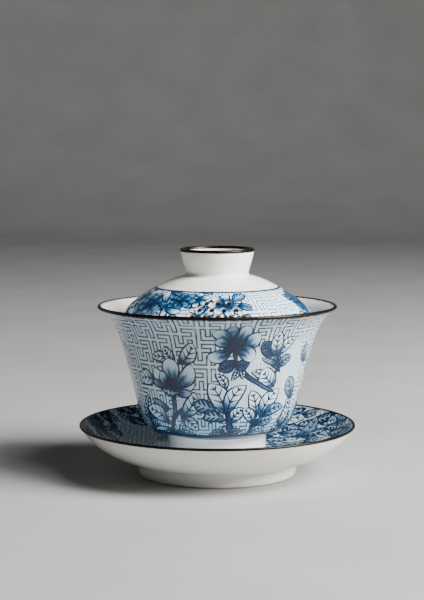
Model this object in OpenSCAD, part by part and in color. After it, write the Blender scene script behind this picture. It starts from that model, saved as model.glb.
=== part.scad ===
// Gaiwan: a lidded tea bowl standing on a saucer. Three loose ceramic pieces, each with a metal-banded rim.
// Millimetres, +Z up, the table is z = 0 and the straining holes of the lid face -Y.

/* [Bowl] */
// outer radius of the lip
bowl_rim_r = 50; // [49:0.25:51]
// height of the lip above the table
bowl_rim_z = 71.2; // [70.2:0.2:72.2]
// radius where the wall starts to flare
bowl_waist_r = 39.3; // [38.7:0.1:39.9]
// radius low on the wall, above the rounded base
bowl_hip_r = 33.6; // [33:0.1:34.2]
// wall thickness at the base
bowl_wall = 2.4; // [2:0.1:2.8]
// wall thickness at the lip
bowl_lip = 1.2; // [1:0.1:1.5]
// outer radius of the foot ring
bowl_foot_r = 20.6; // [20.2:0.2:21]
// how far the top of the foot ring flares out to meet the base
bowl_foot_flare = 1.8; // [1.2:0.2:2.2]
// radial thickness of the foot ring
bowl_foot_wall = 3.2; // [2.6:0.2:3.8]
// height of the foot ring
bowl_foot_h = 10.6; // [10.2:0.2:11]

/* [Lid] */
// height of the flat crown that carries the knob
lid_crown_z = 83.8; // [83.4:0.1:84.4]
// radius of the flat crown
lid_crown_r = 14.5; // [14.2:0.1:14.8]
// height of the lid's lower edge
lid_rim_z = 63; // [62.6:0.1:63.6]
// wall thickness
lid_wall = 2.1; // [1.8:0.1:2.4]
// radius of a straining hole
hole_r = 1; // [0.7:0.1:1.2]
// angle between neighbouring holes of a row
hole_pitch = 8; // [7.5:0.25:9]

/* [Knob] */
// radius of the neck
knob_neck_r = 13.2; // [12.9:0.1:13.5]
// radius of the lip
knob_rim_r = 15.6; // [15.3:0.1:16.1]
// height of the lip above the table
knob_rim_z = 95.3; // [94.4:0.1:96.4]
// wall thickness
knob_wall = 1.9; // [1.7:0.1:2.2]
// wall thickness at the lip
knob_lip = 1.2; // [1:0.1:1.5]

/* [Saucer] */
// outer radius of the lip
saucer_rim_r = 58.2; // [57.5:0.1:59]
// height of the lip above the table
saucer_rim_z = 21.2; // [20.7:0.1:21.7]
// wall thickness
saucer_wall = 2.6; // [2.2:0.1:2.8]
// wall thickness at the lip
saucer_lip = 0.9; // [0.8:0.1:1.2]
// outer radius of the foot ring
saucer_foot_r = 33.9; // [33.4:0.1:34.2]
// radial thickness of the foot ring
saucer_foot_wall = 4; // [3.4:0.2:4.6]
// height of the foot ring
saucer_foot_h = 5; // [4.8:0.1:5.2]

/* [Rim bands] */
// how far the bowl's band reaches down each side of the lip
bowl_band_h = 0.2; // [0.1:0.1:0.6]
// how far the knob's band reaches down each side of the lip
knob_band_h = 0.5; // [0.1:0.1:0.8]
// how far the saucer's band reaches down each side of the lip
saucer_band_h = 0.1; // [0.1:0.1:0.4]
// thickness of the metal
band_t = 0.15; // [0.1:0.05:0.25]

/* [Hidden] */
$fn = 128;

curve_steps = 9;
lip_steps = 8;
seat_gap = 0.2;
band_fit = 0.04;
saucer_well_z = saucer_foot_h + 0.2 + saucer_wall;
bowl_base_z = saucer_well_z + seat_gap + bowl_foot_h;
hip_z = 29.2;
waist_z = 52.2;
hole_len = 12;
hole_tilt = 42;
// rows of holes: radius, height, number of holes
hole_rows = [[32, 75.3, 3], [35.2, 72.9, 4], [37.7, 70.5, 5]];

porcelain = [0.9, 0.9, 0.87];
decorated = [0.55, 0.64, 0.75];
metal = [0.16, 0.13, 0.11];

function bezier(a, b, c, d) = [for (i = [0:curve_steps]) let (t = i / curve_steps, u = 1 - t)
    u * u * u * a + 3 * u * u * t * b + 3 * u * t * t * c + t * t * t * d];
function tail(p) = [for (i = [1:len(p) - 1]) p[i]];
function reversed(p) = [for (i = [len(p) - 1:-1:0]) p[i]];
function last(p) = p[len(p) - 1];
function unit(v) = v / norm(v);
function left_of(d) = [-d[1], d[0]];
function heading(p, i) = unit(p[min(i + 1, len(p) - 1)] - p[max(i - 1, 0)]);
// a line beside p, on its left, at a distance that goes from t0 to t1
function beside(p, t0, t1) = [for (i = [0:len(p) - 1])
    p[i] + (t0 + (t1 - t0) * i / (len(p) - 1)) * left_of(heading(p, i))];
// the rounded end of a wall of thickness w that runs along d and has its right side at e
function cap(e, d, w, out) = let (n = left_of(d), c = e + n * w / 2)
    [for (i = [0:lip_steps]) let (a = 180 * i / lip_steps) c + (w / 2 + out) * (sin(a) * d - cos(a) * n)];
function hem(e, d, w, out, h) = let (c = cap(e, d, w, out))
    concat([c[0] - h * d], c, [last(c) - h * d]);
function swapped(p) = [for (q = p) [q[1], q[0]]];

// outer lines of the walls, from the axis side out and up to the lip
bowl_end = [bowl_rim_r - band_t, bowl_rim_z - bowl_lip / 2 - band_t];
bowl_rim_dir = unit([1.5, 1]);
bowl_out = concat(
    bezier([bowl_foot_r + bowl_foot_flare, bowl_base_z], [28.5, bowl_base_z], [32.1, 22.7],
        [bowl_hip_r, hip_z]),
    tail(bezier([bowl_hip_r, hip_z], [35.3, 36.7], [37.2, 44.4], [bowl_waist_r, waist_z])),
    tail(bezier([bowl_waist_r, waist_z], [41, 59.2], [44.1, 66.8], bowl_end - 1.6 * bowl_rim_dir)),
    [bowl_end]);
bowl_in = beside(bowl_out, bowl_wall, bowl_lip);

lid_rim_r = lookup(lid_rim_z, swapped(bowl_in)) - 0.25;
lid_out = concat(
    bezier([lid_crown_r, lid_crown_z], [18.2, 83.1], [22.5, 81], [28, 77.9]),
    tail(bezier([28, 77.9], [31.5, 75.9], [34.8, 73.6], [37.2, 71.2])),
    tail(bezier([37.2, 71.2], [38.4, 69.9], [39.4, 68.2], [lid_rim_r - 0.3, 66.4])),
    [[lid_rim_r, lid_rim_z + lid_wall / 2]]);
lid_in = beside(lid_out, -lid_wall, -lid_wall);

knob_end = [knob_rim_r - band_t, knob_rim_z - knob_lip / 2 - band_t];
knob_rim_dir = unit([0.12, 1]);
knob_out = concat(
    bezier([lid_crown_r - 0.4, lid_crown_z], [13.4, 84.1], [knob_neck_r, 84.5], [knob_neck_r, 85.4]),
    tail(bezier([knob_neck_r, 85.4], [13.8, 88], [14.8, 90.8], knob_end - 1.3 * knob_rim_dir)),
    [knob_end]);
knob_side = bezier([knob_neck_r, lid_crown_z], [13.8, 87.6], [14.8, 90.8], knob_end - 1.3 * knob_rim_dir);
knob_in = beside(concat(knob_side, [knob_end]), knob_wall, knob_lip);

saucer_end = [saucer_rim_r - band_t, saucer_rim_z - saucer_lip / 2 - band_t];
saucer_rim_dir = unit([0.75, 1]);
saucer_out = concat(
    [[saucer_foot_r + 1.1, saucer_foot_h + 0.7]],
    bezier([saucer_foot_r + 1.5, saucer_foot_h + 0.8], [43, 7.8], [51.5, 11.9],
        saucer_end - 1.8 * saucer_rim_dir),
    [saucer_end]);
saucer_in = beside(saucer_out, saucer_wall + 0.3, saucer_lip);

// a wall with a rounded lip, closed along the axis at the heights of its two lines
module shell(outer, inner, w) {
    d = heading(outer, len(outer) - 1);
    rotate_extrude() polygon(concat(
        [[0, outer[0][1]]], outer, tail(cap(last(outer), d, w, 0)), tail(reversed(inner)),
        [[0, inner[0][1]]]));
}

module rim_band(outer, w, h) {
    d = heading(outer, len(outer) - 1);
    rotate_extrude() polygon(concat(
        hem(last(outer), d, w, band_t, h), reversed(hem(last(outer), d, w, band_fit, h))));
}

// a foot ring that flares at the top and narrows a little downwards, with its lower edges broken
module foot_ring(r, wall, z0, z1, taper, flare) {
    edge = 0.6;
    rotate_extrude() polygon(concat(
        bezier([r + flare, z1], [r, z1 - 0.2], [r, z1 - 1.5], [r - taper, z0 + edge]),
        [[r - taper - edge, z0], [r - wall + edge, z0], [r - wall, z0 + edge], [r - wall, z1]]));
}

module saucer() {
    step = [saucer_foot_r + 0.7, saucer_foot_h + 0.2];
    color(decorated) shell(
        concat([[saucer_foot_r, saucer_foot_h], [saucer_foot_r, saucer_foot_h + 0.2], step], saucer_out),
        concat([[24, saucer_well_z], [30, saucer_well_z + 0.2]], saucer_in), saucer_lip);
}

module saucer_foot_ring() {
    color(porcelain) foot_ring(saucer_foot_r, saucer_foot_wall, 0, saucer_foot_h, 0.6, 0);
}

module saucer_rim_band() {
    color(metal) rim_band(saucer_out, saucer_lip, saucer_band_h);
}

module bowl() {
    color(decorated) shell(bowl_out, bowl_in, bowl_lip);
}

module bowl_foot_ring() {
    color(porcelain) foot_ring(
        bowl_foot_r, bowl_foot_wall, saucer_well_z + seat_gap, bowl_base_z, 0.3, bowl_foot_flare);
}

module bowl_rim_band() {
    color(metal) rim_band(bowl_out, bowl_lip, bowl_band_h);
}

module straining_holes() {
    for (row = hole_rows, i = [0:row[2] - 1])
        rotate([0, 0, (i - (row[2] - 1) / 2) * hole_pitch])
            translate([0, -row[0], row[1]])
                rotate([hole_tilt, 0, 0])
                    cylinder(h = hole_len, r = hole_r, center = true);
}

module lid() {
    color(decorated) difference() {
        rotate_extrude() polygon(concat([[0, lid_crown_z]], lid_out,
            tail(reversed(cap(last(lid_in), heading(lid_out, len(lid_out) - 1), lid_wall, 0))),
            tail(reversed(lid_in)), [[0, lid_crown_z - lid_wall]]));
        straining_holes();
    }
}

module lid_knob() {
    color(porcelain) rotate_extrude() polygon(concat(
        knob_out, tail(cap(last(knob_out), heading(knob_out, len(knob_out) - 1), knob_lip, 0)),
        tail(reversed(knob_in)), [[knob_neck_r - knob_wall, lid_crown_z]]));
}

module lid_knob_rim_band() {
    color(metal) rim_band(knob_out, knob_lip, knob_band_h);
}

saucer();
saucer_foot_ring();
saucer_rim_band();
bowl();
bowl_foot_ring();
bowl_rim_band();
lid();
lid_knob();
lid_knob_rim_band();
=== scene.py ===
"""Looks of the gaiwan: turned glazed porcelain with underglaze blue painting and metal-banded lips."""

import math

import bpy
import numpy as np
from mathutils import Matrix, Vector


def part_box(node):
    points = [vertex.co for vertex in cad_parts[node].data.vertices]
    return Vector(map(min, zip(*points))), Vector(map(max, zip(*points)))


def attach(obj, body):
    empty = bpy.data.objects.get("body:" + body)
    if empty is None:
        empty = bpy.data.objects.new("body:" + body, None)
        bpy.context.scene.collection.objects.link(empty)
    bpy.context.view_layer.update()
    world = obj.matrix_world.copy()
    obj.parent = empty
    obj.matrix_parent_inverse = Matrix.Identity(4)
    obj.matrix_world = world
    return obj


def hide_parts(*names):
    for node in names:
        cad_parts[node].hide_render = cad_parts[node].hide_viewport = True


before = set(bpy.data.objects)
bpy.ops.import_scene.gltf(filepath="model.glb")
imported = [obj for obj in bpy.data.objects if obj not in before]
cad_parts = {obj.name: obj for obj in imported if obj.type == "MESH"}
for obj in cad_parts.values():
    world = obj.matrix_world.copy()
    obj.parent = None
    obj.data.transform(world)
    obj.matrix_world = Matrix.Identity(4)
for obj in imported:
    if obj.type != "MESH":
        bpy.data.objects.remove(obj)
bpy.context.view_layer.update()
MM = 0.001
TURN = 2 * math.pi
ON_AXIS = 0.05  # mm: a smaller radius counts as a point on the axis
SHARP_CORNER = math.radians(35)  # a section's corner that turns by more is not rounded
CREASE = math.radians(33)  # an edge that turns by more is shaded sharp

# ---------------------------------------------------------------- camera and light


def make_camera():
    """A long lens from a little above the knob's height, tilted 0.1 radians down."""
    data = bpy.data.cameras.new("camera")
    data.lens, data.sensor_width = 92.4, 36
    cam = bpy.data.objects.new("camera", data)
    cam.location = (-0.0022, -0.6445, 0.1381)
    cam.rotation_euler = (math.pi / 2 - 0.1, 0, 0)
    data.clip_start = 0.01
    bpy.context.collection.objects.link(cam)
    bpy.context.scene.camera = cam


def softbox(name, place, size, power, colour=(1, 1, 1)):
    """A rectangular light at place (m) that faces the middle of the object."""
    data = bpy.data.lights.new(name, "AREA")
    data.shape, data.size, data.size_y = "RECTANGLE", size[0], size[1]
    data.energy, data.color = power, colour
    lamp = bpy.data.objects.new(name, data)
    lamp.location = place
    lamp.rotation_euler = (Vector((0, 0, 0.045)) - Vector(place)).to_track_quat("-Z", "Y").to_euler()
    bpy.context.collection.objects.link(lamp)


def make_light():
    """A soft key light from the right with a second one above it, and two weak ones on the left."""
    softbox("key", (0.8, -0.32, 0.6), (0.5, 0.6), 42.0, (1, 0.99, 0.975))
    softbox("top", (0.55, -0.45, 0.95), (0.45, 0.45), 9.0)
    softbox("fill", (-0.9, -0.8, 0.5), (0.9, 0.9), 0.2, (0.95, 0.97, 1))
    softbox("edge", (-0.8, 0.5, 0.5), (0.3, 0.7), 0.5)
    world = bpy.data.worlds.new("studio")
    world.use_nodes = True
    world.node_tree.nodes["Background"].inputs[0].default_value = (0.78, 0.79, 0.8, 1)
    world.node_tree.nodes["Background"].inputs[1].default_value = 0.05
    bpy.context.scene.world = world


def make_backdrop():
    """A pale floor that curves up behind the object."""
    curve_r, back, high, wide = 0.7, 1.6, 4.0, 6.0
    arc = [math.radians(a) for a in range(0, 91, 6)]
    line = [(-4.0, 0.0)] + [(back + curve_r * math.sin(a), curve_r * (1 - math.cos(a))) for a in arc]
    line.append((back + curve_r, high))
    verts = [(x, y, z) for y, z in line for x in (-wide, wide)]
    faces = [(2 * k, 2 * k + 1, 2 * k + 3, 2 * k + 2) for k in range(len(line) - 1)]
    mesh = bpy.data.meshes.new("backdrop")
    mesh.from_pydata(verts, [], faces)
    mesh.shade_smooth()
    sheet = bpy.data.objects.new("backdrop", mesh)
    bpy.context.collection.objects.link(sheet)
    mat, tree, shader = new_material("backdrop_paper")
    shader.inputs["Roughness"].default_value = 0.8
    tone = ramp(tree, noise(tree, 14, 4.0), [(0.3, (0.33, 0.33, 0.325)), (0.7, (0.37, 0.37, 0.365))])
    join(tree, tone, shader.inputs["Base Color"])
    mesh.materials.append(mat)


# ---------------------------------------------------------------- turned shapes from the CAD section


def section(node, start):
    """Half-section of a turned CAD node as (radius, height) points in mm, and whether it closes on itself.
    start says which of its two ends on the axis comes first, top or bottom. Only faces of the back half are
    followed, where the lid has no holes."""
    same_place = 0.02  # mm: vertices nearer than this are one point of the section
    back_half = 0.5  # mm behind the axis
    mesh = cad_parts[node].data
    co = np.array([v.co for v in mesh.vertices]) / MM
    flat = np.c_[np.hypot(co[:, 0], co[:, 1]), co[:, 2]]
    points, same = [], np.zeros(len(flat), int)
    for i, p in enumerate(flat):
        near = [k for k, q in enumerate(points)
                if abs(q[0] - p[0]) < same_place and abs(q[1] - p[1]) < same_place]
        same[i] = near[0] if near else len(points)
        if not near:
            points.append(p)
    links = {}
    for poly in mesh.polygons:
        if min(co[v][1] for v in poly.vertices) > back_half:
            ids = [same[v] for v in poly.vertices]
            for a, b in zip(ids, ids[1:] + ids[:1]):
                if a != b:
                    links.setdefault(a, set()).add(b)
                    links.setdefault(b, set()).add(a)
    ends = sorted((k for k in links if len(links[k]) == 1), key=lambda k: points[k][1])
    closed = not ends
    here = min(links, key=lambda k: points[k][1]) if closed else ends[-1 if start == "top" else 0]
    path = [here]
    while True:
        ahead = [k for k in links[path[-1]] if k not in path[-2:] and not (closed and k in path)]
        if not ahead:
            break
        path.append(ahead[0])
    line = [points[k] for k in path]
    if not closed:
        inner = [p for p in line if p[0] > ON_AXIS]
        line = [np.array([0, line[0][1]]), *inner, np.array([0, line[-1][1]])]
    return np.array(line), closed


def rounded(line, closed, step):
    """The section as a smooth curve with points at most step mm apart. Corners that turn by more than
    SHARP_CORNER stay sharp."""
    n = len(line)
    count = n if closed else n - 1
    way = [line[(i + 1) % n] - line[i] for i in range(count)]
    size = [np.linalg.norm(w) for w in way]
    way = [w / s for w, s in zip(way, size)]

    def lean(i, k):
        """Direction of the curve at point i, for the stretch k that starts or ends there. Where one stretch
        is much longer than its neighbour, the curve takes the long one's direction."""
        before, after = (i - 1) % n, i % n
        if not closed and (i == 0 or i == n - 1):
            return way[k]
        if way[before] @ way[after] < math.cos(SHARP_CORNER):
            return way[k]
        if max(size[before], size[after]) > 2.5 * min(size[before], size[after]):
            return way[before] if size[before] > size[after] else way[after]
        d = way[before] * size[after] + way[after] * size[before]
        return d / np.linalg.norm(d)

    out = []
    for k in range(count):
        a, b = line[k], line[(k + 1) % n]
        steps = max(1, math.ceil(size[k] / step))
        ta, tb = lean(k, k) * size[k], lean(k + 1 if closed or k + 1 < n else n - 1, k) * size[k]
        for j in range(steps):
            t = j / steps
            out.append((2 * t**3 - 3 * t**2 + 1) * a + (t**3 - 2 * t**2 + t) * ta
                       + (3 * t**2 - 2 * t**3) * b + (t**3 - t**2) * tb)
    if not closed:
        out.append(line[-1])
    return np.array(out)


def turned(name, node, body, step, around, start):
    """A smooth turned piece that stands for a CAD node. Its corners carry the attribute surf: the angle from
    the front in radians, the distance along the section in mm, and the radius in mm."""
    line, closed = section(node, start)
    line = rounded(line, closed, step)
    way = np.r_[0, np.cumsum(np.linalg.norm(np.diff(line, axis=0), axis=1))]
    area = sum(p[0] * q[1] - q[0] * p[1] for p, q in zip(line, np.roll(line, -1, 0)))
    n = len(line)
    first, verts = [], []
    for r, z in line:
        first.append(len(verts))
        if r < ON_AXIS:
            verts.append((0, 0, z * MM))
        else:
            a = np.arange(around) * TURN / around
            verts += list(zip(r * np.sin(a) * MM, -r * np.cos(a) * MM, np.full(around, z * MM)))
    faces, surf = [], []
    for i in range(n if closed else n - 1):
        k = (i + 1) % n
        wi, wk = way[i], way[k] if k else way[i] + np.linalg.norm(line[0] - line[i])
        for j in range(around):
            mid = TURN * (j + 0.5) / around
            low, high = TURN * j / around, TURN * (j + 1) / around
            corners = [(i, j, low, wi), (i, j + 1, high, wi), (k, j + 1, high, wk), (k, j, low, wk)]
            if line[i][0] < ON_AXIS:
                corners = [(i, 0, mid, wi)] + corners[2:]
            elif line[k][0] < ON_AXIS:
                corners = corners[:2] + [(k, 0, mid, wk)]
            if area < 0:
                corners.reverse()
            back = TURN if mid > math.pi else 0
            faces.append([first[c[0]] + (c[1] % around if line[c[0]][0] > ON_AXIS else 0) for c in corners])
            surf += [(c[2] - back, c[3], line[c[0]][0]) for c in corners]
    mesh = bpy.data.meshes.new(name)
    mesh.from_pydata(verts, [], faces)
    layer = mesh.attributes.new("surf", "FLOAT_VECTOR", "CORNER")
    layer.data.foreach_set("vector", np.array(surf, np.float32).ravel())
    mesh.shade_smooth()
    mesh.set_sharp_from_angle(angle=CREASE)
    piece = bpy.data.objects.new(name, mesh)
    bpy.context.collection.objects.link(piece)
    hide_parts(node)
    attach(piece, body)
    return piece


# rows of straining holes: radius, height (mm) and number
HOLE_ROWS = ((32.0, 75.3, 3), (35.2, 72.9, 4), (37.7, 70.5, 5))
HOLE_R = 1.0
HOLE_MOUTH_R = 1.3
HOLE_TILT = math.radians(42)
HOLE_PITCH = math.radians(8)  # from one hole of a row to the next


def drill(lid, around=24):
    """Cuts the straining holes through the lid, each with a mouth that opens out. Mouths get the lid's
    second material, and the walls its third."""
    profile = [(HOLE_R, -4), (HOLE_R, -0.45), (HOLE_MOUTH_R - 0.12, -0.12), (HOLE_MOUTH_R, 0.0),
               (HOLE_MOUTH_R + 0.2, 1)]
    tilt = Matrix.Rotation(HOLE_TILT, 4, "X")
    verts, faces, walls = [], [], []
    for r, z, count in HOLE_ROWS:
        for k in range(count):
            turn = Matrix.Rotation((k - (count - 1) / 2) * HOLE_PITCH, 4, "Z")
            place = turn @ Matrix.Translation((0, -r * MM, z * MM)) @ tilt
            first = len(verts)
            for pr, pz in profile:
                for j in range(around):
                    a = TURN * j / around
                    verts.append(place @ Vector((pr * math.cos(a) * MM, pr * math.sin(a) * MM, pz * MM)))
            for i in range(len(profile) - 1):
                for j in range(around):
                    a, b = first + i * around + j, first + i * around + (j + 1) % around
                    faces.append((a, b, b + around, a + around))
                    walls.append(2 if i == 0 else 1)
            walls += [2, 1]
            faces.append(tuple(first + j for j in reversed(range(around))))
            faces.append(tuple(first + (len(profile) - 1) * around + j for j in range(around)))
    mesh = bpy.data.meshes.new("hole_cutter")
    mesh.from_pydata(verts, [], faces)
    for poly, wall in zip(mesh.polygons, walls):
        poly.material_index = wall
        poly.use_smooth = True
    cutter = bpy.data.objects.new("hole_cutter", mesh)
    for m in (lid.data, mesh):
        for _ in range(3):
            m.materials.append(None)
    bpy.context.collection.objects.link(cutter)
    cut = lid.modifiers.new("holes", "BOOLEAN")
    cut.object, cut.solver, cut.operation = cutter, "EXACT", "DIFFERENCE"
    whole = bpy.context.evaluated_depsgraph_get()
    lid.data = bpy.data.meshes.new_from_object(lid.evaluated_get(whole))
    lid.data.set_sharp_from_angle(angle=CREASE)
    lid.modifiers.clear()
    bpy.data.objects.remove(cutter)


# ---------------------------------------------------------------- node arithmetic


class Val:
    """A node socket that takes part in arithmetic: each operator adds a math node to its tree."""

    def __init__(self, tree, socket):
        self.tree, self.socket = tree, socket

    def op(self, kind, *others):
        node = self.tree.nodes.new("ShaderNodeMath")
        node.operation = kind
        for slot_in, value in zip(node.inputs, (self, *others)):
            join(self.tree, value, slot_in)
        return Val(self.tree, node.outputs[0])

    def __add__(self, o):
        return self.op("ADD", o)

    def __sub__(self, o):
        return self.op("SUBTRACT", o)

    def __mul__(self, o):
        return self.op("MULTIPLY", o)

    def __truediv__(self, o):
        return self.op("DIVIDE", o)

    def __lt__(self, o):
        return self.op("LESS_THAN", o)

    def __gt__(self, o):
        return self.op("GREATER_THAN", o)

    def abs(self):
        return self.op("ABSOLUTE")

    def min(self, o):
        return self.op("MINIMUM", o)

    def max(self, o):
        return self.op("MAXIMUM", o)

    def step(self, low, high, to_low=0.0, to_high=1.0):
        """A smooth step from to_low at low to to_high at high."""
        node = self.tree.nodes.new("ShaderNodeMapRange")
        node.interpolation_type = "SMOOTHSTEP"
        for slot_in, value in zip(node.inputs, (self, low, high, to_low, to_high)):
            join(self.tree, value, slot_in)
        return Val(self.tree, node.outputs[0])

    def mix(self, a, b):
        """a where this is 0, b where it is 1."""
        node = self.tree.nodes.new("ShaderNodeMix")
        for slot_in, value in zip((node.inputs[0], node.inputs[2], node.inputs[3]), (self, a, b)):
            join(self.tree, value, slot_in)
        return Val(self.tree, node.outputs[0])

    def mix_colour(self, a, b, blend="MIX"):
        """Colour a where this is 0, b laid over it where it is 1."""
        node = self.tree.nodes.new("ShaderNodeMix")
        node.data_type, node.blend_type = "RGBA", blend
        for slot_in, value in zip((node.inputs[0], node.inputs[6], node.inputs[7]), (self, a, b)):
            join(self.tree, value, slot_in)
        return Val(self.tree, node.outputs[2])

    def parts(self):
        """The three numbers of a vector."""
        node = self.tree.nodes.new("ShaderNodeSeparateXYZ")
        join(self.tree, self, node.inputs[0])
        return [Val(self.tree, o) for o in node.outputs]


def join(tree, value, socket):
    """Feeds a Val or a plain number or colour into a socket."""
    if isinstance(value, Val):
        tree.links.new(value.socket, socket)
    else:
        socket.default_value = value


def attribute(tree, name):
    node = tree.nodes.new("ShaderNodeAttribute")
    node.attribute_name = name
    return Val(tree, node.outputs["Vector"])


def own_place(tree):
    """Where a point is in its object's own coordinates, in metres."""
    return Val(tree, tree.nodes.new("ShaderNodeTexCoord").outputs["Object"])


def noise(tree, scale, detail=2.0):
    """Noise over the object's own coordinates, scale in cycles per metre."""
    node = tree.nodes.new("ShaderNodeTexNoise")
    join(tree, own_place(tree), node.inputs["Vector"])
    node.inputs["Scale"].default_value = scale
    node.inputs["Detail"].default_value = detail
    return Val(tree, node.outputs["Fac"])


def ramp(tree, value, stops):
    """A colour that goes with value from one (place, colour) stop to the next."""
    node = tree.nodes.new("ShaderNodeValToRGB")
    while len(node.color_ramp.elements) < len(stops):
        node.color_ramp.elements.new(0.5)
    for element, (place, colour) in zip(node.color_ramp.elements, stops):
        element.position = place
        element.color = (*colour, 1)
    join(tree, value, node.inputs[0])
    return Val(tree, node.outputs[0])


def group(name, ins, outs, build):
    """A node group. build gets the tree and one Val per input, and returns one Val per output."""
    tree = bpy.data.node_groups.new(name, "ShaderNodeTree")
    for n, kind in ins:
        tree.interface.new_socket(n, in_out="INPUT", socket_type=kind)
    for n in outs:
        tree.interface.new_socket(n, in_out="OUTPUT", socket_type="NodeSocketFloat")
    entry = tree.nodes.new("NodeGroupInput")
    exit_node = tree.nodes.new("NodeGroupOutput")
    given = [Val(tree, o) for o in entry.outputs[: len(ins)]]
    for socket, value in zip(exit_node.inputs, build(tree, *given)):
        tree.links.new(value.socket, socket)
    return tree


def use(tree, shared, *values):
    """Puts a shared node group into a tree. Returns its outputs."""
    node = tree.nodes.new("ShaderNodeGroup")
    node.node_tree = shared
    for socket, value in zip(node.inputs, values):
        join(tree, value, socket)
    return [Val(tree, o) for o in node.outputs]


# ---------------------------------------------------------------- the painting: key fret and brush strokes

FRET_CELLS = 8  # cells after which the fret repeats, each way
FRET_CELL_MM = 3.6
OUTLINE = 0.34  # half-width in mm of a shape's dark outline


def build_fret(tree, u, v, width):
    """Lines round a lattice of bars. u and v count cells. Each column has a bar 5 cells long that starts
    3 cells further on than its neighbour's, and each row a bar 4 cells long."""

    def bars(across, along, shift, length, start):
        """How far a place is from the nearest bar, in cells."""
        column = across.op("ROUND")
        place = along - column * shift + (FRET_CELLS - length) / 2 - start
        centred = place.op("FLOORED_MODULO", FRET_CELLS) - FRET_CELLS / 2
        return (across - column).abs().max(centred.abs() - length / 2)

    columns = bars(u, v, shift=3, length=5, start=0)
    rows = bars(v, u, shift=3, length=4, start=2)
    away = columns.min(rows) * FRET_CELL_MM
    return [((away - FRET_CELL_MM / 4).abs() - width).step(-0.07, 0.07, 1.0, 0.0)]


def build_stroke(tree, under, mask, place, form, inks, hatch, wobble):
    """One brush-drawn shape over what is under it. place: share of the length, mm off the midline, widest
    half-width. form: how the outline swells at its base and at its tip, and the length in mm. inks: at the
    base, at the tip, and the strength of its veins, which are light ones where it is below 0, or -9 for an
    unpainted patch with hatching."""
    q, t, wide = place.parts()
    swell, taper, length = form.parts()
    base, tip, veins = inks.parts()

    # the outline: off is the distance outside the shape's edge
    t = t + wobble
    q_in = q.max(0.0).min(1.0)
    half = wide * q_in.op("POWER", swell) * (q_in * -1 + 1).op("POWER", taper)
    side = t.abs()
    off = side - half
    patch = veins < -5.0
    within = ((q - 0.5).abs() - 0.5) * length < OUTLINE
    cover = off.step(OUTLINE - 0.07, OUTLINE + 0.07, 1.0, 0.0) * within
    soft = off.step(-2.5, 0.0, 1.0, 0.0)
    edge = off.step(-OUTLINE - 0.08, -OUTLINE + 0.08)

    # the ink from base to tip, with fine streaks along petals
    leafy = veins.abs() > 0.05
    reach = leafy * -0.35 + 0.9
    shade = (q_in / reach).step(0.0, 1.0).mix(base, tip)
    spread = t / half.max(0.3)
    streak = ((spread * 8 + wobble * 8).op("SINE") * 0.5 + 0.5).op("POWER", 3)
    streak = streak * (q_in / reach).step(0.2, 1.0, 0.6, 0.0)

    # the veins of leaves: a midrib, and wedges that lean towards the tip
    pitch = length * 0.22
    rib = (side + q_in * 0.2 - 0.36).step(-0.08, 0.08, 1.0, 0.0) * q_in.step(0.84, 0.9, 1.0, 0.0)
    wedge = ((q * length - side * 0.95) / pitch).op("FRACT").op("SUBTRACT", 0.5).abs() * pitch
    wedge = (wedge + side / half.max(0.3) * 0.45 - 0.5).step(-0.09, 0.09, 1.0, 0.0)
    wedge = wedge * (q_in > 0.08) * (q_in < 0.86)
    vein = rib.max(wedge) * leafy

    drawn = shade + streak * base * (leafy * -1 + 1)
    drawn = (veins > 0.0).mix(drawn + vein * veins, drawn.max(vein * veins))
    drawn = drawn.max(edge)
    amount = patch.mix(cover, soft)
    return [amount.mix(under, patch.mix(drawn, hatch)), (amount * (patch * -1 + 1)).mix(mask, 1.0)]


VECTOR = "NodeSocketVector"
FLOAT = "NodeSocketFloat"
FRET = group("key_fret", [("u", FLOAT), ("v", FLOAT), ("width", FLOAT)], ["line"], build_fret)
STROKE = group("brush_stroke", [("under", FLOAT), ("mask", FLOAT), ("place", VECTOR), ("form", VECTOR),
                                ("inks", VECTOR), ("hatch", FLOAT), ("wobble", FLOAT)],
               ["ink", "mask"], build_stroke)
LAYERS = 6  # strokes that the shader can lay over one another at one place
# how each shape swells at its base and tapers at its tip
FORMS = {"leaf": (0.8, 0.72), "round": (0.6, 0.5), "petal": (0.8, 0.45), "stem": (0.05, 0.3),
         "patch": (0.5, 0.5)}
# tones of leaves: the inks at base and tip, and the strength of the veins
PALE = ((0.65, 0.02), 1.0)
MID = ((0.85, 0.3), 1.0)
DARK = ((0.95, 0.66), -0.5)
SHADED = ((1.0, 0.62), 1.0)


def toward(x, y, angle, reach):
    """The point reach mm away from (x, y), in the direction angle in radians."""
    return x + math.cos(angle) * reach, y + math.sin(angle) * reach


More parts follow.
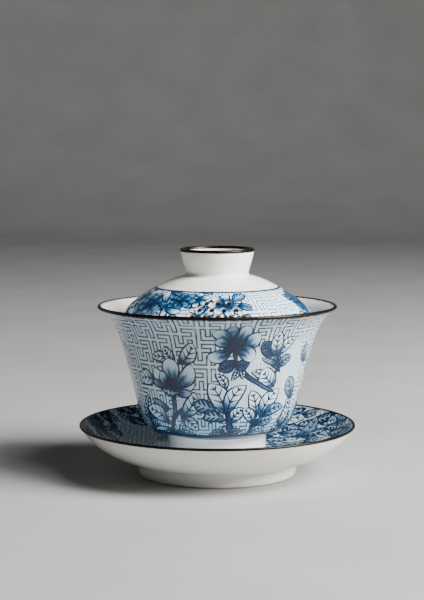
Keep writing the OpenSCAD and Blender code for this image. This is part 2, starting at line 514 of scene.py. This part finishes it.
class Canvas:
    """The painted side of a turned piece. Strokes go in the order they are painted, at (x, y) in mm: x along
    the girth as measured at radius r, and y along the section from way0 on. sense is -1 where y runs against
    the section's own direction."""

    def __init__(self, piece, r, way0, sense=1):
        self.mesh, self.r, self.way0, self.sense = piece.data, r, way0, sense
        self.shift = 0.0
        self.strokes = []

    def stroke(self, kind, x, y, angle, length, width, bend, inks, veins):
        """Adds a shape from (x, y) on, at an angle in degrees. width is its widest half-width."""
        self.strokes.append((kind, x + self.shift, y, angle, length, width, bend, inks, veins))

    def span(self, kind, x, y, tip, width, bend, inks, veins=0.0):
        """A stroke from (x, y) to tip. bend is how far its middle bows out, as a share of its length."""
        dx, dy = tip[0] - x, tip[1] - y
        length = math.hypot(dx, dy)
        self.stroke(kind, x, y, math.degrees(math.atan2(dy, dx)), length, width, bend * length, inks, veins)

    def leaf(self, x, y, tip, width, bend=0.0, tone=PALE, kind="leaf"):
        self.span(kind, x, y, tip, width, bend, *tone)

    def stem(self, x, y, tip, bend=0.0, width=0.45):
        self.span("stem", x, y, tip, width + 0.12, bend, (0.7, 0.5))

    def petal(self, x, y, tip, width, bend=0.0, inks=(0.98, 0.04)):
        self.span("petal", x, y, tip, width, bend, inks)

    def flower(self, x, y, size, petals, turn=0.0, tall=0.8, inks=(0.98, 0.04)):
        """An open bloom seen a little from the side: tall is its height over its width."""
        order = sorted(range(petals), key=lambda k: -math.sin(math.radians(turn + 360 * k / petals)))
        for k in order:
            a = math.radians(turn + 360 * k / petals)
            reach = size * (1 + 0.1 * math.sin(5.3 * k + 1))
            dx, dy = math.cos(a) * reach, math.sin(a) * tall * reach
            width = size * (0.27 + 0.04 * math.sin(3.1 * k))
            bend = 0.07 * math.sin(2.7 * k + turn)
            self.petal(x + dx * 0.05, y + dy * 0.05, (x + dx, y + dy), width, bend, inks)
        self.span("round", x - size * 0.18, y, (x + size * 0.18, y), size * 0.14, 0, (1, 1))
        for k in range(3):
            a = math.radians(turn + 120 * k + 20)
            tip = (x + size * 0.3 * math.cos(a), y + size * 0.26 * math.sin(a))
            self.span("stem", x, y, tip, 0.2, 0.1, (1, 0.5))

    def peony(self, x, y, size, turn=0.0, inks=(1.0, 0.42)):
        """A full bloom of two rings of petals, deep blue to its edges."""
        self.flower(x, y, size, 9, turn, 0.85, inks)
        self.flower(x, y, size * 0.66, 6, turn + 25, 0.85, inks)

    def leafage(self, x0, x1, y0, y1, count, size):
        """Overlapping leaves in quiet disorder over a stretch of the girth."""
        for k in range(count):
            x = x0 + (x1 - x0) * ((k * 0.755) % 1)
            y = y0 + (y1 - y0) * ((k * 0.57) % 1)
            reach = size * (1 + 0.25 * math.sin(4.1 * k))
            tone = (MID, PALE, DARK)[k % 3]
            self.leaf(x, y, toward(x, y, 2.4 * k, reach), reach * 0.24, 0.1 * math.sin(k), tone)

    def bouquet(self, x, y, size, leaves=7, turn=0.0):
        """A full bloom in a ring of leaves."""
        for k in range(leaves):
            a = math.radians(turn + 360 * k / leaves)
            reach = size * (1.7 + 0.25 * math.sin(3.7 * k))
            tip = (x + math.cos(a) * reach, y + math.sin(a) * reach * 0.9)
            tone = (PALE, DARK, MID)[k % 3]
            self.leaf(*toward(x, y, a, size * 0.5), tip, size * 0.32, 0.12 * (-1) ** k, tone)
        self.peony(x, y, size, turn)

    def spray(self, x, y, angle, length, pairs, leaf, bend, tone=PALE):
        """A stem with pairs of leaves along it and one at its end."""
        a = math.radians(angle)
        end = toward(x, y, a, length)
        self.stem(x, y, end, bend)
        for k in range(pairs):
            q = (k + 0.6) / (pairs + 0.4)
            off = bend * length * 4 * q * (1 - q)
            px = x + (end[0] - x) * q - math.sin(a) * off
            py = y + (end[1] - y) * q + math.cos(a) * off
            for side in (-1, 1):
                tilt = a + math.atan(bend * 4 * (1 - 2 * q)) + math.radians(side * (50 - 9 * k))
                size = leaf * (1 - 0.13 * k + 0.07 * side)
                self.leaf(px, py, toward(px, py, tilt, size), size * 0.23, 0.1 * side, tone)
        self.leaf(*end, toward(*end, a - math.atan(bend * 4), leaf), leaf * 0.22, 0.05, tone)

    def bare(self, x, y, width, height):
        """A patch where the fret gives way to plain ground with fine hatching."""
        self.stroke("patch", x, y - height / 2, 90, height, width / 2, 0, (0, 0), -9)

    def fill(self):
        """Writes the strokes into the mesh: for each face the topmost LAYERS strokes that touch it, as
        attributes of its corners, for the shader to draw. A stroke that hides a whole face shuts it for the
        strokes under it."""
        mesh = self.mesh
        count = len(mesh.loops)
        surf = np.zeros(count * 3, np.float32)
        mesh.attributes["surf"].data.foreach_get("vector", surf)
        angle, way, radius = surf.reshape(-1, 3).T.astype(float)
        height = (way - self.way0) * self.sense
        first = np.array([p.loop_start for p in mesh.polygons])
        total = np.array([p.loop_total for p in mesh.polygons])
        middle = np.add.reduceat(angle, first) / total
        tracks = {key: np.zeros((LAYERS, count, 3), np.float32) for key in ("place", "form", "inks")}
        tracks["place"][:, :, 2] = -10  # a width below 0 draws nothing
        used = np.zeros(len(first), int)
        shut = np.zeros(len(first), bool)
        most, least = np.maximum.reduceat, np.minimum.reduceat
        for kind, x, y, turn, length, width, bend, inks, veins in reversed(self.strokes):
            swell, taper = FORMS[kind]
            peak = swell / (swell + taper)
            wide = width / (peak**swell * (1 - peak) ** taper)
            turns = np.round((x / self.r - middle) / TURN) * TURN
            reach = length + width + abs(bend) + 4
            beside = np.abs(middle + turns - x / self.r) * radius[first] < reach
            level = np.abs(height[first] - y) < reach
            near = np.nonzero(beside & level & (used < LAYERS) & ~shut)[0]
            if not len(near):
                continue
            starts = np.r_[0, np.cumsum(total[near])[:-1]]
            where = np.repeat(first[near] - starts, total[near]) + np.arange(total[near].sum())
            dx = (np.repeat(turns[near], total[near]) + angle[where] - x / self.r) * radius[where]
            dy = height[where] - y
            c, s = math.cos(math.radians(turn)), math.sin(math.radians(turn))
            q = (dx * c + dy * s) / length
            t = dy * c - dx * s - bend * 4 * q * (1 - q)
            inner = np.clip(q, 0, 1)
            off = np.abs(t) - wide * inner**swell * (1 - inner) ** taper
            slack = 0.4 / length
            touch = (least(off, starts) < 1.0) & (most(q, starts) > -slack) & (least(q, starts) < 1 + slack)
            corners = np.repeat(touch, total[near])
            layer = np.repeat(LAYERS - 1 - used[near], total[near])[corners]
            where = where[corners]
            tracks["place"][layer, where] = np.c_[q, t, np.full(len(q), wide)][corners]
            tracks["form"][layer, where] = (swell, taper, length)
            tracks["inks"][layer, where] = (*inks, veins)
            used[near] += touch
            if kind != "patch":
                shut[near] |= touch & (most(off, starts) < -0.6) & (least(q, starts) > 0)
        for key, data in tracks.items():
            for n in range(LAYERS):
                track = mesh.attributes.new(f"{key}{n}", "FLOAT_VECTOR", "CORNER")
                track.data.foreach_set("vector", data[n].ravel())


# ---------------------------------------------------------------- materials

PAPER = (0.58, 0.72, 0.8)
# colours from no ink to full ink: blues for the strokes, greys for the fret and its ground
NAVY = [(0.0, PAPER), (0.16, (0.32, 0.455, 0.57)), (0.4, (0.036, 0.115, 0.22)),
        (0.66, (0.008, 0.032, 0.082)), (1.0, (0.004, 0.012, 0.03))]
# lid's strokes: bluer, on a paler ground than the bowl's; partly own colour, partly painted light
LID_BLUES_LIT = [(0.0, (0.64, 0.8, 0.9)), (0.18, (0.22, 0.43, 0.59)), (0.42, (0.012, 0.095, 0.21)),
          (0.68, (0.005, 0.042, 0.115)), (1.0, (0.003, 0.013, 0.04))]
WHITES = [(0.3, (0.8, 0.785, 0.74)), (0.7, (0.85, 0.84, 0.8))]
SAUCER_BLUES = [(0.0, (0.46, 0.6, 0.68)), *NAVY[1:]]
GREYS = [(0.0, (0.54, 0.66, 0.745)), (1.0, (0.02, 0.034, 0.065))]
# lid's fret and ground: paler and bluer than the bowl's; partly own colour, partly painted light
LID_GREYS_LIT = [(0.0, (0.64, 0.8, 0.9)), (1.0, (0.02, 0.085, 0.16))]


def new_material(name):
    """A new material, its tree and its shader node."""
    mat = bpy.data.materials.new(name)
    mat.use_nodes = True
    return mat, mat.node_tree, mat.node_tree.nodes["Principled BSDF"]


def relief(tree, shader, height, strength, distance):
    """Gives the surface a bump of distance metres where height is 1."""
    bump = tree.nodes.new("ShaderNodeBump")
    bump.inputs["Strength"].default_value = strength
    bump.inputs["Distance"].default_value = distance
    join(tree, height, bump.inputs["Height"])
    tree.links.new(bump.outputs[0], shader.inputs["Normal"])


def glaze(name):
    """A material with glazed porcelain's gloss. Returns it, its tree and its shader node."""
    mat, tree, shader = new_material(name)
    shader.inputs["IOR"].default_value = 1.48
    join(tree, noise(tree, 35).step(0.3, 0.7, 0.13, 0.2), shader.inputs["Roughness"])
    relief(tree, shader, noise(tree, 90, 1.0), 0.12, 0.0004)
    return mat, tree, shader


def porcelain(tree):
    """The colour of white porcelain under its glaze, slightly uneven."""
    return ramp(tree, noise(tree, 60, 3.0), WHITES)


def white_glaze(name):
    mat, tree, shader = glaze(name)
    join(tree, porcelain(tree), shader.inputs["Base Color"])
    return mat


def painted(name, low, high, cells=0, lines=(), blues=NAVY, greys=GREYS, fret=0.3, fret_ink=1.0, glaze_pool_and_reflection=0.0):
    """Glaze over blue painting between two distances along the section. cells: fret cells round the girth,
    or 0 for a fret laid flat. lines: where a painted ring runs, and its half-width in mm. blues: tones of
    the strokes. greys: tones of the fret. fret: half-width of its lines. fret_ink: how dark they are. pool:
    how strong the blue tint is towards the lower edge of the painting: partly the thicker, bluer glaze
    there, partly a painted reflection of the saucer's blue painting."""
    mat, tree, shader = glaze(name)
    angle, way, _ = attribute(tree, "surf").parts()
    wobble = (noise(tree, 240) - 0.5) * 0.8
    if cells:
        u, v = angle * (cells / TURN), way / FRET_CELL_MM
    else:
        u, v = [axis / (FRET_CELL_MM * MM) for axis in own_place(tree).parts()[:2]]
    worn = noise(tree, 130).step(0.3, 0.6, 0.75 * fret_ink, fret_ink)
    lattice = use(tree, FRET, u, v, fret)[0] * worn
    hatch = (u * 2.0).op("FRACT").op("SUBTRACT", 0.5).abs().step(0.1, 0.3, 0.42, 0.0)
    hatch = hatch * noise(tree, 60).step(0.35, 0.6, 0.3, 1.0)
    ink, mask, rings = lattice, wobble * 0.0, wobble * 0.0
    for n in range(LAYERS):
        ink, mask = use(tree, STROKE, ink, mask, attribute(tree, f"place{n}"), attribute(tree, f"form{n}"),
                        attribute(tree, f"inks{n}"), hatch, wobble)
    for place, half in lines:
        ring = ((way - place).abs() - half).step(-0.08, 0.08, 1.0, 0.0)
        ink, mask, rings = ring.mix(ink, 0.85), ring.mix(mask, 1.0), rings.max(ring)
    ink = ink * noise(tree, 700, 3.0).step(0.25, 0.75, 0.86, 1.08)
    colour = mask.mix_colour(ramp(tree, ink, greys), ramp(tree, ink, blues))
    # blue tint at the painting's lower edge: partly thick bluer glaze, partly painted reflection of the
    # saucer
    if glaze_pool_and_reflection:
        deep = (way - low).step(4.0, 24.0, glaze_pool_and_reflection, 0.0) * noise(tree, 50).step(0.3, 0.7, 0.75, 1.0)
        colour = deep.mix_colour(colour, (0.4, 0.68, 0.86, 1), "MULTIPLY")
    inside = (way > low) * (way < high)
    join(tree, inside.mix_colour(porcelain(tree), colour), shader.inputs["Base Color"])
    # the ink of the rings takes the gloss off the glaze
    join(tree, rings.mix(0.5, 0.1), shader.inputs["Specular IOR Level"])
    return mat


def bare_clay(name, clay_brightness):
    """Unglazed clay, matt and slightly sandy. A factor below 1 darkens it; on the walls of the lid's holes
    that is painted shade.
    """
    mat, tree, shader = new_material(name)
    light, dark = [tuple(c * clay_brightness for c in tone) for tone in ((0.62, 0.57, 0.5), (0.42, 0.37, 0.31))]
    shader.inputs["Roughness"].default_value = 0.7
    relief(tree, shader, noise(tree, 2500, 3.0), 0.3, 0.0001)
    tone = ramp(tree, noise(tree, 800, 3.0), [(0.3, dark), (0.7, light)])
    join(tree, tone, shader.inputs["Base Color"])
    return mat


def foot_glaze(name, node, ring=0.0):
    """White glaze that stops short of a foot ring's standing edge. ring: how far down from its top the blue
    ring reaches that is painted over the joint, in mm; its depth also gives painted shade in the joint."""
    mat, tree, shader = glaze(name)
    height = own_place(tree).parts()[2] / MM
    ground, top = [corner[2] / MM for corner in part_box(node)]
    edge = noise(tree, 150, 3.0).step(0.2, 0.8, ground + 0.35, ground + 0.75)
    bare = (height - edge).step(-0.08, 0.08, 1.0, 0.0)
    tone = porcelain(tree)
    if ring:
        # blue ring on the foot's top, also painted shade where the bowl meets its foot
        ring_and_joint_shade = (height - top + ring + noise(tree, 150) * 0.15).step(-0.06, 0.06)
        blue = ramp(tree, noise(tree, 400), [(0.3, NAVY[3][1]), (0.7, NAVY[2][1])])
        tone = ring_and_joint_shade.mix_colour(tone, blue)
    clay = ramp(tree, noise(tree, 800, 3.0), [(0.3, (0.46, 0.39, 0.3)), (0.7, (0.64, 0.57, 0.47))])
    join(tree, bare.mix_colour(tone, clay), shader.inputs["Base Color"])
    join(tree, bare.mix(0.16, 0.75), shader.inputs["Roughness"])
    return mat


def rim_metal(name):
    """Dark bronze-coloured metal, worn lighter in places."""
    mat, tree, shader = new_material(name)
    shader.inputs["Metallic"].default_value = 0.85
    tone = ramp(tree, noise(tree, 900, 4.0), [(0.3, (0.008, 0.007, 0.006)), (0.62, (0.02, 0.015, 0.012)),
                                             (0.8, (0.1, 0.07, 0.045))])
    join(tree, tone, shader.inputs["Base Color"])
    join(tree, noise(tree, 500).step(0.3, 0.7, 0.25, 0.45), shader.inputs["Roughness"])
    return mat


# ---------------------------------------------------------------- the gaiwan

make_camera()
make_light()
make_backdrop()

# CAD node: name of the piece, its body, its material slot, where its section starts, the step along the
# section in mm, and the faces round it
PIECES = {
    "saucer": ("saucer_dish", "saucer", "saucer_glaze", "top", 1.2, 288),
    "saucer_foot_ring": ("saucer_foot", "saucer", "white_glaze", "top", 0.8, 192),
    "saucer_rim_band": ("saucer_band", "saucer", "rim_metal", "top", 0.4, 288),
    "bowl": ("bowl_wall", "bowl", "bowl_glaze", "bottom", 1.1, 288),
    "bowl_foot_ring": ("bowl_foot", "bowl", "white_glaze", "top", 0.8, 192),
    "bowl_rim_band": ("bowl_band", "bowl", "rim_metal", "top", 0.4, 288),
    "lid": ("lid_dome", "lid", "lid_glaze", "top", 1.0, 256),
    "lid_knob": ("lid_knob_ring", "lid", "white_glaze", "top", 0.8, 192),
    "lid_knob_rim_band": ("lid_knob_band", "lid", "rim_metal", "top", 0.4, 192),
}
made = {}
for node, (name, body, slot_name, start, step, around) in PIECES.items():
    made[node] = turned(name, node, body, step, around, start)

# Where each painting runs along its piece's section, in mm
BOWL_WAYS = (22.0, 87.2)
LID_WAYS = (26.3, 50.0)
SAUCER_WAYS = (24.0, 61.3)
# Radius in mm at which x is measured on each of them
BOWL_R = 40
LID_R = 34
SAUCER_R = 45

# The bowl's outside: y = 0 is the middle of its underside, the blue ring at its foot reaches up to about 30,
# wide enough to stand also for painted shade at the foot's joint, and the lip is near 85.


def bowl_front(c):
    """The bloom on its branch with plants under it, and a smaller bloom to its left."""
    c.bare(13, 54, 22, 34)
    c.bare(31, 56, 26, 34)
    c.bare(-16, 43, 9, 14)
    c.spray(-37, 27, 100, 12, 3, 8, 0.1)
    c.spray(36, 27, 70, 12, 3, 8, -0.1)
    c.leafage(-58, 58, 25, 30, 34, 6)
    c.stem(-21, 50, (-22, 38), 0.05, 0.8)
    c.stem(-22, 39, (-26, 30), 0.05, 0.6)
    c.leaf(-24, 42, (-33, 45), 2.6, 0.1, MID)
    c.leaf(-25, 36, (-37, 41), 3.4, -0.1)
    c.leaf(-25, 33, (-36, 31), 2.4, 0.1)
    c.stem(-24, 35, (-12, 45), 0.12, 0.5)
    c.leaf(-18, 39, (-11, 50), 3.0, -0.12)
    c.leaf(-18, 39, (-12, 33), 2.6, 0.12)
    c.leaf(-24, 31, (-14, 29), 1.8, 0.1, MID)
    c.leaf(-26, 31, (-29, 26), 1.6, 0.1, DARK)
    c.leaf(-29, 54, (-40, 53.5), 3.4, -0.1)
    c.leaf(-20, 63, (-29, 64), 2.3, -0.15)
    c.leaf(-18, 63, (-22, 69), 2.4, 0.1)
    c.leaf(-16, 62, (-9.5, 71.5), 3.1, -0.1)
    c.petal(-21, 52, (-29, 59), 2.6, 0.1, (0.75, -0.05))
    c.petal(-21, 52, (-11, 54), 2.4, -0.1, (0.75, -0.05))
    c.petal(-21, 51, (-13, 49.5), 1.8, -0.1, (0.9, 0.2))
    c.petal(-22, 52, (-30, 54), 1.6, 0.1, (0.9, 0.3))
    c.petal(-21, 52, (-11, 61.5), 3.1, -0.14, (0.75, -0.05))
    c.petal(-21, 52, (-20, 64), 3.9, 0.02, (0.75, -0.05))
    c.petal(-21, 51.5, (-25.5, 58), 2.2, 0.1, (0.9, 0.1))
    c.span("round", -24.5, 53.5, (-19, 53.5), 2.0, 0, (1, 0.9))
    c.leaf(-17, 50, (-26, 51), 1.5, 0.15, DARK)

    c.stem(4.5, 43, (6, 29), 0.03, 1.0)
    c.leaf(3, 50, (-0.6, 58), 1.9, -0.2)
    c.leaf(3.6, 41, (-3, 54), 4.0, -0.08)
    c.leaf(4.6, 41, (11.8, 53), 3.2, 0.14)
    c.leaf(-1, 42.5, (-10, 45.5), 2.9, 0.0, DARK)
    c.leaf(3.5, 38, (-5.5, 39), 2.3, -0.15, DARK)
    c.leaf(6, 37, (12, 43), 2.5, 0.1)
    c.leaf(5, 31, (-2, 31), 1.6, -0.2, MID)
    c.leaf(6, 30, (11, 33), 1.6, 0.2, MID)
    c.leaf(6, 31, (5, 26), 1.3, 0.1, DARK)

    c.stem(19, 38, (17, 30), 0.0, 0.6)
    c.leaf(19.5, 39, (16, 50.5), 3.0, -0.05)
    c.leaf(21, 39, (29.5, 50), 3.5, 0.1)
    c.leaf(18, 36, (13, 43), 2.3, -0.1)
    c.leaf(19, 35, (27.5, 37), 2.4, 0.1, MID)
    c.leaf(22, 39, (33.5, 42), 2.3, 0.1, MID)
    c.leaf(17, 31, (24, 33), 1.7, 0.15)
    c.leaf(17, 31, (12, 29), 1.5, 0.15, MID)
    c.leaf(35, 33, (39.5, 43), 2.3, -0.1)
    c.leaf(42, 45, (36, 54.8), 3.3, 0.0, MID)

    c.stem(24, 50, (28.5, 60), 0.12, 0.5)
    c.leaf(21, 53.5, (15, 58.8), 1.9, -0.2)
    c.leaf(27, 51.5, (20.2, 59.3), 3.9, 0.05, PALE, "round")
    c.stem(8.5, 60.5, (25, 49.5), -0.04, 0.8)
    c.stem(20, 66, (28.5, 58), -0.06, 0.6)
    c.stem(28, 59, (26, 66), -0.08, 0.6)
    c.leaf(27, 61, (19, 64.5), 2.4, -0.12, MID)
    c.leaf(27, 60, (34, 64), 2.3, 0.1, MID)
    c.leaf(24, 65, (17.5, 71.5), 3.0, 0.0, SHADED)
    c.leaf(26, 65, (34.5, 72.5), 2.5, 0.1)
    c.leaf(25, 65, (24.5, 76), 3.0, 0.02)
    c.leaf(46, 60, (44, 69), 2.2, 0.1, MID)
    c.leaf(47, 60, (52, 66), 2.0, 0.1)

    c.leaf(8.5, 61, (6.3, 55.5), 1.3, 0.1)
    c.leaf(9.5, 61, (10.7, 56), 1.3, 0.1)
    c.stem(6.8, 67.5, (7.8, 62), 0.0, 0.5)
    c.leaf(7.8, 63.5, (0.5, 60), 2.5, 0.05, SHADED)
    c.leaf(6.5, 61.7, (13, 62.3), 2.2, -0.05, SHADED)
    c.petal(6.5, 70, (5, 80), 2.6, 0.02, (1.0, 0.3))
    c.petal(6, 70, (-2.2, 77), 2.7, -0.1, (1.0, 0.1))
    c.petal(7, 70, (11.6, 80), 2.9, -0.05)
    c.petal(7.5, 70, (17, 75.2), 3.1, -0.1)
    c.petal(6, 69.5, (-1.2, 72.5), 2.1, -0.08, (1.0, 0.2))
    c.petal(6, 69.5, (-3.8, 65), 2.7, 0.12)
    c.petal(7, 69.5, (15, 64.3), 3.3, 0.06)
    c.span("round", 3.8, 70, (9.6, 70.3), 2.6, 0, (1, 0.9))
    for k in range(4):
        c.span("stem", 5.4 + k, 69.5, (4 + k * 2.4, 73.5 + math.sin(k)), 0.2, 0.1 - 0.07 * k, (0.2, 0.1))


def bowl_side(c):
    """What fills the bowl's girth between the two main blooms."""
    c.bare(5, 50, 20, 26)
    c.spray(-8, 28, 85, 12, 3, 8, 0.1, MID)
    c.spray(8, 27, 95, 14, 3, 9, -0.08)
    c.leaf(-1, 33, (-9, 37), 2.4, 0.1, DARK)
    c.stem(0, 38, (-3, 50), 0.1, 0.6)
    c.leaf(-1, 43, (-11, 46), 2.8, 0.1, MID)
    c.leaf(-1, 44, (8, 47), 2.8, -0.1, DARK)
    c.leaf(-2, 49, (7, 54), 3.0, 0.1)
    c.leaf(-2, 48, (-12, 54), 2.8, -0.1)
    c.stem(-3, 50, (3, 64), -0.1, 0.6)
    c.leaf(-3, 55, (-11, 61), 2.6, 0.1, DARK)
    c.leaf(0, 60, (-7, 67), 2.4, -0.1)
    c.leaf(4, 62, (-4, 60), 2.4, 0.05, DARK)
    c.leaf(4, 62, (12, 59), 2.4, -0.1, MID)
    c.leaf(11, 66, (19, 62), 2.4, 0.1)
    c.flower(5, 69, 10.5, 7, 12, 0.85)


bowl = Canvas(made["bowl"], BOWL_R, 0)
for side in (0, 1):
    bowl.shift = side * math.pi * BOWL_R
    bowl_front(bowl)
    bowl.shift = (side + 0.5) * math.pi * BOWL_R
    bowl_side(bowl)
bowl.fill()
# the ring at 26.2 is the blue ring over the foot's joint, and also painted shade there
bowl_paint = painted("bowl_paint", *BOWL_WAYS, 72, [(26.2, 4.2)], fret=0.34, glaze_pool_and_reflection=1.0)
made["bowl"].data.materials.append(bowl_paint)

# The lid's outside: y = 0 is its lower edge, and the painting ends near 24, below the knob.


def lid_front(c):
    """Full blooms to the left of the lid's holes, and loose petals and leaves round them."""
    c.leafage(-66, -20, 1, 22, 34, 8)
    c.leafage(-14, 6, 1, 22, 18, 6)
    c.peony(-60, 13, 8, 10)
    c.flower(-47, 6, 6.5, 7, 30, 0.8, (0.95, 0.0))
    c.flower(-44, 17, 6.5, 7, 0, 0.8, (0.95, 0.0))
    c.flower(-20, 4, 6.5, 7, 50, 0.8, (1.0, 0.3))
    c.flower(-10, 18, 5.5, 7, 20, 0.8, (0.9, 0.0))
    c.flower(3, 15, 7.5, 7, 30, 0.85, (0.95, -0.05))
    c.flower(-6, 7, 7, 7, 0, 0.85, (0.9, -0.05))
    c.flower(5, 4, 6.5, 6, 10, 0.8, (0.9, -0.05))
    c.peony(-17.5, 17, 6.5, 0, (1.0, 0.34))
    c.peony(-32, 13.5, 9.5, 15, (1.0, 0.3))
    c.petal(-23, 15, (-27, 22.5), 1.9, 0.1, (0.5, -0.05))
    c.petal(-23, 14, (-21, 7), 1.6, 0.1, (0.6, -0.05))
    c.petal(-22, 12.5, (-14, 10.5), 1.6, -0.1, (0.6, -0.05))
    c.leaf(7, 17, (12.5, 21), 2.2, 0.1, DARK)
    c.leaf(8, 14, (14, 12), 2.0, 0.1, MID)
    c.leaf(7, 8, (14, 5), 2.2, 0.1, DARK)


drill(made["lid"])
lid = Canvas(made["lid"], LID_R, LID_WAYS[1], -1)
for side in (0, 1):
    lid.shift = side * math.pi * LID_R
    lid_front(lid)
lid.fill()
lid_rings = [(26.9, 0.5), (48.8, 0.5)]
lid_paint = painted("lid_paint", *LID_WAYS, 64, lid_rings, LID_BLUES_LIT, LID_GREYS_LIT, 0.27)
made["lid"].data.materials[0] = lid_paint
made["lid"].data.materials[1] = bare_clay("hole_clay", 0.9)
# the holes' walls: clay darkened to a quarter, as painted shade inside the narrow holes
made["lid"].data.materials[2] = bare_clay("hole_wall_painted_shade", 0.25)


# The saucer's upper side: y = 0 is the inner edge of the painting, and the rim is near 37.


def saucer_side(c):
    """Crowded leaves on the slope of the saucer, to the right of the bowl."""
    c.leaf(77, 29, (69, 34), 2.2, 0.1, MID)
    c.leaf(83, 27, (74, 33), 2.6, 0.1, DARK)
    c.leaf(90, 28, (79, 31), 2.4, -0.1, DARK)
    c.leaf(94, 22, (79, 25), 2.4, 0.1)
    c.leaf(90, 17, (83, 22), 2.2, -0.1, MID)
    c.leaf(98, 22, (86, 28.5), 2.8, 0.08, DARK)
    c.leaf(94, 30, (84, 34), 2.6, -0.1)
    c.leaf(100, 31, (89, 37), 2.6, 0.1, DARK)
    c.leaf(97, 17, (99, 33), 3.4, 0.08, MID)
    c.leaf(107, 32, (98, 36.5), 2.0, 0.05, MID)
    c.leaf(110, 19, (99, 23), 2.8, 0.1, MID)
    c.leaf(96, 8, (90, 18), 2.6, 0.1, MID)
    c.leaf(108, 12, (97, 18), 2.2, 0.1)
    c.leaf(105, 5, (96, 13), 2.2, 0.1, MID)
    c.leaf(115, 9, (102, 14), 2.4, -0.1, DARK)
    c.leaf(119, 16, (109, 23), 2.6, 0.1, DARK)
    c.leaf(119, 25, (101.5, 31.5), 3.9, -0.06)
    c.leaf(117, 32, (103, 36), 1.9, 0.05, DARK)


saucer = Canvas(made["saucer"], SAUCER_R, SAUCER_WAYS[0])
saucer.leafage(60, 134, 0, 38, 52, 13)
saucer_side(saucer)
saucer.leafage(-110, -58, 29, 37, 26, 8)
saucer.bouquet(-84, 33, 4.5, 7, 20)
saucer.leafage(122, 170, 4, 32, 40, 9)
saucer.bouquet(146, 18, 8, 8, 50)
saucer.fill()
saucer_paint = painted("saucer_paint", *SAUCER_WAYS, blues=SAUCER_BLUES, fret=0.24, fret_ink=0.7)
made["saucer"].data.materials.append(saucer_paint)
white = white_glaze("porcelain_white")
metal = rim_metal("rim_bronze")
made["saucer_foot_ring"].data.materials.append(foot_glaze("saucer_foot_white", "saucer_foot_ring"))
made["bowl_foot_ring"].data.materials.append(foot_glaze("bowl_foot_white", "bowl_foot_ring", 0.7))
for node in made:
    if not made[node].data.materials:
        made[node].data.materials.append(metal if "band" in node else white)
